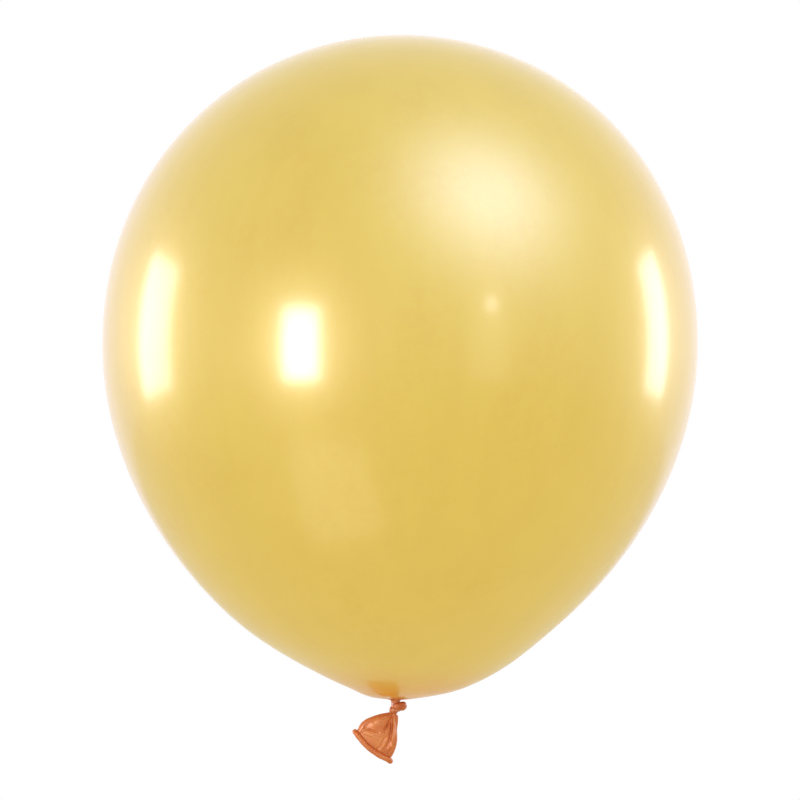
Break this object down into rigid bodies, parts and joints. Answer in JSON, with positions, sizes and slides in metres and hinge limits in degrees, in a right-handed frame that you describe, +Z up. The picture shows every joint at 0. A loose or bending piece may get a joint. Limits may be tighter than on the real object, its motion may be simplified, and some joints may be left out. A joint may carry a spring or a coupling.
{
  "type": "latex balloon",
  "caption": "Round pearl-gold latex party balloon, blown up, with gathered throat, tied knot and short flattened tail with a rolled lip.",
  "frame": {"origin": "middle of the tied waist, where a ribbon goes round the neck, between the base of the balloon and the knot", "axes": "+Z up through the crown, +X to the side away from the tail, which hangs down towards -X, and +Y away from a viewer who sees the tail hang to the left"},
  "size_m": [0.28, 0.28, 0.3432],
  "materials": {
    "pearl_latex": "glossy pearl film, stretched",
    "gathered_latex": "glossy pearl film, less stretched and deeper in colour",
    "slack_latex": "satin unstretched film, amber brown"
  },
  "bodies": {
    "balloon": {"envelope": "pearl_latex", "throat": "gathered_latex"},
    "neck": {"pucker": "gathered_latex"},
    "knot": {"neck_stem": "slack_latex", "knot_core": "slack_latex", "knot_turn": "slack_latex"},
    "tail": {"tail_skirt": "slack_latex", "rolled_lip": "slack_latex"}
  },
  "joints": [
    {"name": "neck_twist", "type": "hinge", "parent": "balloon", "child": "neck", "pos_m": [0, 0, 0.0015], "axis": [0, 0, 1], "range_deg": [-90, 90], "stiffness_Nm_per_rad": 0.0005},
    {"name": "neck_lean", "type": "hinge", "parent": "neck", "child": "knot", "pos_m": [0, 0, 0.0015], "axis": [0, 1, 0], "range_deg": [-15, 35], "stiffness_Nm_per_rad": 0.0005},
    {"name": "tail_flap", "type": "hinge", "parent": "knot", "child": "tail", "pos_m": [-0.0008, 0, -0.0054], "axis": [0.8387, 0, -0.5446], "range_deg": [-60, 60], "stiffness_Nm_per_rad": 0.0005}
  ]
}
